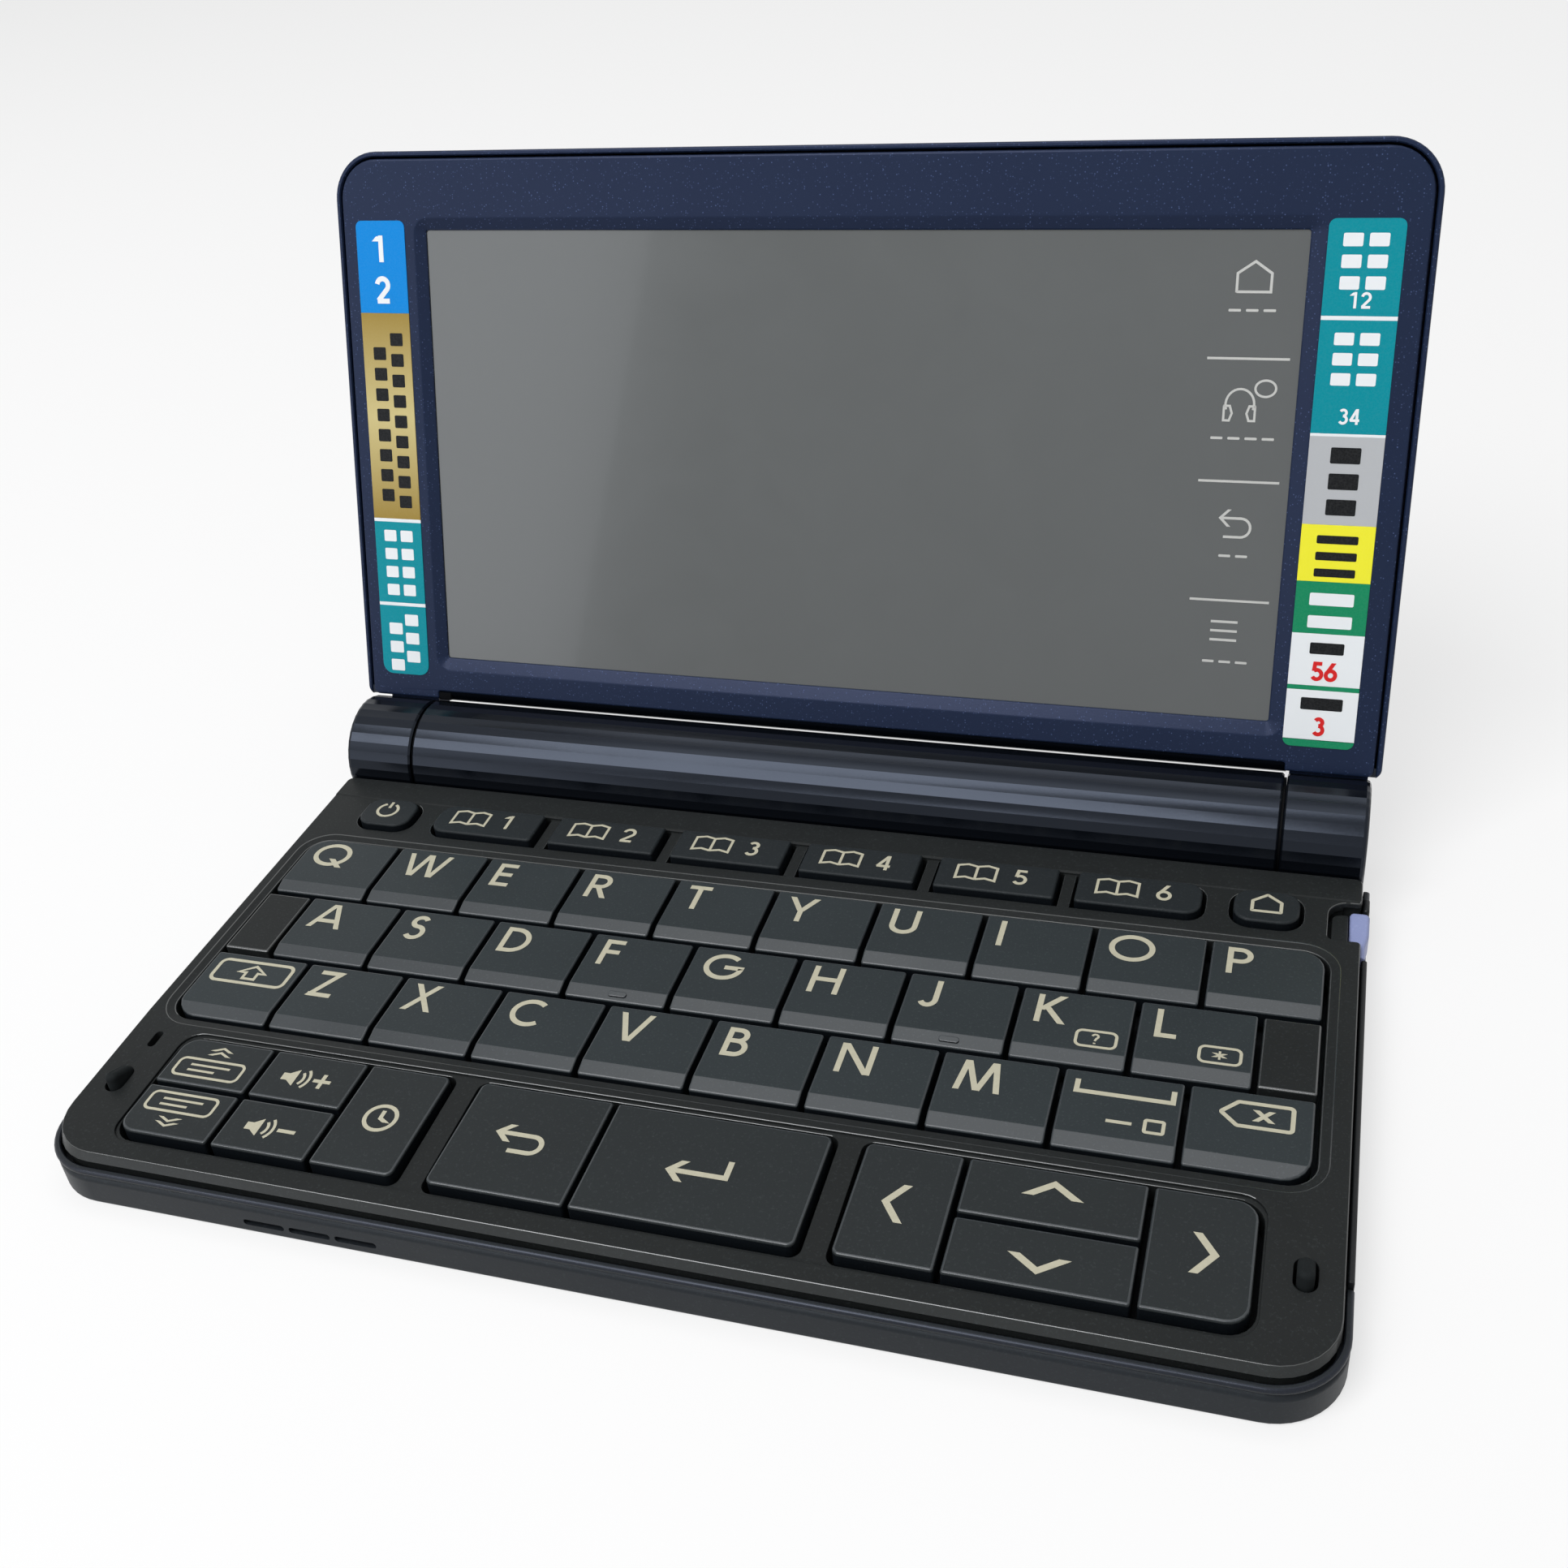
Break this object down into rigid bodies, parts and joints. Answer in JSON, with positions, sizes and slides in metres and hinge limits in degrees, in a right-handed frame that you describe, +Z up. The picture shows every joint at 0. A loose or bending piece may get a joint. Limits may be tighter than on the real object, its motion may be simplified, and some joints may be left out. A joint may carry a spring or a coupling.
{
  "type": "electronic dictionary",
  "caption": "Pocket clamshell reference device: keyboard base with a battery barrel at the hinge, and a lid with a touch screen that folds over the keys.",
  "frame": {"origin": "on the flat underside of the case, at the middle of the base both ways, which is on the table it stands on", "axes": "+X to the right of someone who reads the screen, +Y to the back, towards the hinge, +Z up"},
  "size_m": [0.148, 0.1195, 0.0892],
  "materials": {
    "case_plastic": "moulded plastic with a fine matt texture",
    "panel_plastic": "moulded plastic, matt charcoal paint",
    "key_plastic": "satin moulded key caps with pale printed legends",
    "lid_plastic": "navy paint with a fine metallic fleck, satin clear coat",
    "barrel_plastic": "satin navy plastic with narrow lengthwise flats",
    "screen_glass": "glossy cover glass over a dark grey display",
    "mat_rubber": "silicone rubber sheet",
    "board_laminate": "green solder mask",
    "clutch_steel": "ground steel",
    "cell_can": "plain printed sleeve",
    "stylus_plastic": "pale lavender cap and dark grey body"
  },
  "bodies": {
    "base": {"bottom_case": "case_plastic", "keyboard_panel": "panel_plastic", "key_mat": "mat_rubber", "circuit_board": "board_laminate", "battery_cell_left": "cell_can", "battery_cell_right": "cell_can", "hinge_clutch": "clutch_steel"},
    "lid": {"lid_bezel": "lid_plastic", "lid_cover": "lid_plastic", "touch_screen": "screen_glass"},
    "battery_cover": {"battery_cover": "barrel_plastic"},
    "stylus": {"stylus": "stylus_plastic"},
    "key_function_1": {"key_function_1": "key_plastic"},
    "key_function_2": {"key_function_2": "key_plastic"},
    "key_function_3": {"key_function_3": "key_plastic"},
    "key_function_4": {"key_function_4": "key_plastic"},
    "key_function_5": {"key_function_5": "key_plastic"},
    "key_function_6": {"key_function_6": "key_plastic"},
    "key_power": {"key_power": "key_plastic"},
    "key_home": {"key_home": "key_plastic"},
    "key_q": {"key_q": "key_plastic"},
    "key_w": {"key_w": "key_plastic"},
    "key_e": {"key_e": "key_plastic"},
    "key_r": {"key_r": "key_plastic"},
    "key_t": {"key_t": "key_plastic"},
    "key_y": {"key_y": "key_plastic"},
    "key_u": {"key_u": "key_plastic"},
    "key_i": {"key_i": "key_plastic"},
    "key_o": {"key_o": "key_plastic"},
    "key_p": {"key_p": "key_plastic"},
    "key_a": {"key_a": "key_plastic"},
    "key_s": {"key_s": "key_plastic"},
    "key_d": {"key_d": "key_plastic"},
    "key_f": {"key_f": "key_plastic"},
    "key_g": {"key_g": "key_plastic"},
    "key_h": {"key_h": "key_plastic"},
    "key_j": {"key_j": "key_plastic"},
    "key_k": {"key_k": "key_plastic"},
    "key_l": {"key_l": "key_plastic"},
    "key_shift": {"key_shift": "key_plastic"},
    "key_z": {"key_z": "key_plastic"},
    "key_x": {"key_x": "key_plastic"},
    "key_c": {"key_c": "key_plastic"},
    "key_v": {"key_v": "key_plastic"},
    "key_b": {"key_b": "key_plastic"},
    "key_n": {"key_n": "key_plastic"},
    "key_m": {"key_m": "key_plastic"},
    "key_space": {"key_space": "key_plastic"},
    "key_delete": {"key_delete": "key_plastic"},
    "key_page_up": {"key_page_up": "key_plastic"},
    "key_page_down": {"key_page_down": "key_plastic"},
    "key_volume_up": {"key_volume_up": "key_plastic"},
    "key_volume_down": {"key_volume_down": "key_plastic"},
    "key_history": {"key_history": "key_plastic"},
    "key_back": {"key_back": "key_plastic"},
    "key_enter": {"key_enter": "key_plastic"},
    "key_left": {"key_left": "key_plastic"},
    "key_up": {"key_up": "key_plastic"},
    "key_down": {"key_down": "key_plastic"},
    "key_right": {"key_right": "key_plastic"}
  },
  "joints": [
    {"name": "lid_hinge", "type": "hinge", "parent": "base", "child": "lid", "pos_m": [0, 0.03925, 0.00785], "axis": [-1, 0, 0], "range_deg": [-108.07, 42]},
    {"name": "battery_cover_slide", "type": "slide", "parent": "base", "child": "battery_cover", "axis": [0, -1, 0], "range_m": [-0.012, 0]},
    {"name": "stylus_slide", "type": "slide", "parent": "base", "child": "stylus", "axis": [1, 0, 0], "range_m": [0, 0.012]},
    {"name": "key_function_1_press", "type": "slide", "parent": "base", "child": "key_function_1", "axis": [0, 0, 1], "range_m": [-0.0008, 0], "stiffness_N_per_m": 600},
    {"name": "key_function_2_press", "type": "slide", "parent": "base", "child": "key_function_2", "axis": [0, 0, 1], "range_m": [-0.0008, 0], "stiffness_N_per_m": 600},
    {"name": "key_function_3_press", "type": "slide", "parent": "base", "child": "key_function_3", "axis": [0, 0, 1], "range_m": [-0.0008, 0], "stiffness_N_per_m": 600},
    {"name": "key_function_4_press", "type": "slide", "parent": "base", "child": "key_function_4", "axis": [0, 0, 1], "range_m": [-0.0008, 0], "stiffness_N_per_m": 600},
    {"name": "key_function_5_press", "type": "slide", "parent": "base", "child": "key_function_5", "axis": [0, 0, 1], "range_m": [-0.0008, 0], "stiffness_N_per_m": 600},
    {"name": "key_function_6_press", "type": "slide", "parent": "base", "child": "key_function_6", "axis": [0, 0, 1], "range_m": [-0.0008, 0], "stiffness_N_per_m": 600},
    {"name": "key_power_press", "type": "slide", "parent": "base", "child": "key_power", "axis": [0, 0, 1], "range_m": [-0.0008, 0], "stiffness_N_per_m": 600},
    {"name": "key_home_press", "type": "slide", "parent": "base", "child": "key_home", "axis": [0, 0, 1], "range_m": [-0.0008, 0], "stiffness_N_per_m": 600},
    {"name": "key_q_press", "type": "slide", "parent": "base", "child": "key_q", "axis": [0, 0, 1], "range_m": [-0.0008, 0], "stiffness_N_per_m": 600},
    {"name": "key_w_press", "type": "slide", "parent": "base", "child": "key_w", "axis": [0, 0, 1], "range_m": [-0.0008, 0], "stiffness_N_per_m": 600},
    {"name": "key_e_press", "type": "slide", "parent": "base", "child": "key_e", "axis": [0, 0, 1], "range_m": [-0.0008, 0], "stiffness_N_per_m": 600},
    {"name": "key_r_press", "type": "slide", "parent": "base", "child": "key_r", "axis": [0, 0, 1], "range_m": [-0.0008, 0], "stiffness_N_per_m": 600},
    {"name": "key_t_press", "type": "slide", "parent": "base", "child": "key_t", "axis": [0, 0, 1], "range_m": [-0.0008, 0], "stiffness_N_per_m": 600},
    {"name": "key_y_press", "type": "slide", "parent": "base", "child": "key_y", "axis": [0, 0, 1], "range_m": [-0.0008, 0], "stiffness_N_per_m": 600},
    {"name": "key_u_press", "type": "slide", "parent": "base", "child": "key_u", "axis": [0, 0, 1], "range_m": [-0.0008, 0], "stiffness_N_per_m": 600},
    {"name": "key_i_press", "type": "slide", "parent": "base", "child": "key_i", "axis": [0, 0, 1], "range_m": [-0.0008, 0], "stiffness_N_per_m": 600},
    {"name": "key_o_press", "type": "slide", "parent": "base", "child": "key_o", "axis": [0, 0, 1], "range_m": [-0.0008, 0], "stiffness_N_per_m": 600},
    {"name": "key_p_press", "type": "slide", "parent": "base", "child": "key_p", "axis": [0, 0, 1], "range_m": [-0.0008, 0], "stiffness_N_per_m": 600},
    {"name": "key_a_press", "type": "slide", "parent": "base", "child": "key_a", "axis": [0, 0, 1], "range_m": [-0.0008, 0], "stiffness_N_per_m": 600},
    {"name": "key_s_press", "type": "slide", "parent": "base", "child": "key_s", "axis": [0, 0, 1], "range_m": [-0.0008, 0], "stiffness_N_per_m": 600},
    {"name": "key_d_press", "type": "slide", "parent": "base", "child": "key_d", "axis": [0, 0, 1], "range_m": [-0.0008, 0], "stiffness_N_per_m": 600},
    {"name": "key_f_press", "type": "slide", "parent": "base", "child": "key_f", "axis": [0, 0, 1], "range_m": [-0.0008, 0], "stiffness_N_per_m": 600},
    {"name": "key_g_press", "type": "slide", "parent": "base", "child": "key_g", "axis": [0, 0, 1], "range_m": [-0.0008, 0], "stiffness_N_per_m": 600},
    {"name": "key_h_press", "type": "slide", "parent": "base", "child": "key_h", "axis": [0, 0, 1], "range_m": [-0.0008, 0], "stiffness_N_per_m": 600},
    {"name": "key_j_press", "type": "slide", "parent": "base", "child": "key_j", "axis": [0, 0, 1], "range_m": [-0.0008, 0], "stiffness_N_per_m": 600},
    {"name": "key_k_press", "type": "slide", "parent": "base", "child": "key_k", "axis": [0, 0, 1], "range_m": [-0.0008, 0], "stiffness_N_per_m": 600},
    {"name": "key_l_press", "type": "slide", "parent": "base", "child": "key_l", "axis": [0, 0, 1], "range_m": [-0.0008, 0], "stiffness_N_per_m": 600},
    {"name": "key_shift_press", "type": "slide", "parent": "base", "child": "key_shift", "axis": [0, 0, 1], "range_m": [-0.0008, 0], "stiffness_N_per_m": 600},
    {"name": "key_z_press", "type": "slide", "parent": "base", "child": "key_z", "axis": [0, 0, 1], "range_m": [-0.0008, 0], "stiffness_N_per_m": 600},
    {"name": "key_x_press", "type": "slide", "parent": "base", "child": "key_x", "axis": [0, 0, 1], "range_m": [-0.0008, 0], "stiffness_N_per_m": 600},
    {"name": "key_c_press", "type": "slide", "parent": "base", "child": "key_c", "axis": [0, 0, 1], "range_m": [-0.0008, 0], "stiffness_N_per_m": 600},
    {"name": "key_v_press", "type": "slide", "parent": "base", "child": "key_v", "axis": [0, 0, 1], "range_m": [-0.0008, 0], "stiffness_N_per_m": 600},
    {"name": "key_b_press", "type": "slide", "parent": "base", "child": "key_b", "axis": [0, 0, 1], "range_m": [-0.0008, 0], "stiffness_N_per_m": 600},
    {"name": "key_n_press", "type": "slide", "parent": "base", "child": "key_n", "axis": [0, 0, 1], "range_m": [-0.0008, 0], "stiffness_N_per_m": 600},
    {"name": "key_m_press", "type": "slide", "parent": "base", "child": "key_m", "axis": [0, 0, 1], "range_m": [-0.0008, 0], "stiffness_N_per_m": 600},
    {"name": "key_space_press", "type": "slide", "parent": "base", "child": "key_space", "axis": [0, 0, 1], "range_m": [-0.0008, 0], "stiffness_N_per_m": 600},
    {"name": "key_delete_press", "type": "slide", "parent": "base", "child": "key_delete", "axis": [0, 0, 1], "range_m": [-0.0008, 0], "stiffness_N_per_m": 600},
    {"name": "key_page_up_press", "type": "slide", "parent": "base", "child": "key_page_up", "axis": [0, 0, 1], "range_m": [-0.0008, 0], "stiffness_N_per_m": 600},
    {"name": "key_page_down_press", "type": "slide", "parent": "base", "child": "key_page_down", "axis": [0, 0, 1], "range_m": [-0.0008, 0], "stiffness_N_per_m": 600},
    {"name": "key_volume_up_press", "type": "slide", "parent": "base", "child": "key_volume_up", "axis": [0, 0, 1], "range_m": [-0.0008, 0], "stiffness_N_per_m": 600},
    {"name": "key_volume_down_press", "type": "slide", "parent": "base", "child": "key_volume_down", "axis": [0, 0, 1], "range_m": [-0.0008, 0], "stiffness_N_per_m": 600},
    {"name": "key_history_press", "type": "slide", "parent": "base", "child": "key_history", "axis": [0, 0, 1], "range_m": [-0.0008, 0], "stiffness_N_per_m": 600},
    {"name": "key_back_press", "type": "slide", "parent": "base", "child": "key_back", "axis": [0, 0, 1], "range_m": [-0.0008, 0], "stiffness_N_per_m": 600},
    {"name": "key_enter_press", "type": "slide", "parent": "base", "child": "key_enter", "axis": [0, 0, 1], "range_m": [-0.0008, 0], "stiffness_N_per_m": 600},
    {"name": "key_left_press", "type": "slide", "parent": "base", "child": "key_left", "axis": [0, 0, 1], "range_m": [-0.0008, 0], "stiffness_N_per_m": 600},
    {"name": "key_up_press", "type": "slide", "parent": "base", "child": "key_up", "axis": [0, 0, 1], "range_m": [-0.0008, 0], "stiffness_N_per_m": 600},
    {"name": "key_down_press", "type": "slide", "parent": "base", "child": "key_down", "axis": [0, 0, 1], "range_m": [-0.0008, 0], "stiffness_N_per_m": 600},
    {"name": "key_right_press", "type": "slide", "parent": "base", "child": "key_right", "axis": [0, 0, 1], "range_m": [-0.0008, 0], "stiffness_N_per_m": 600}
  ]
}
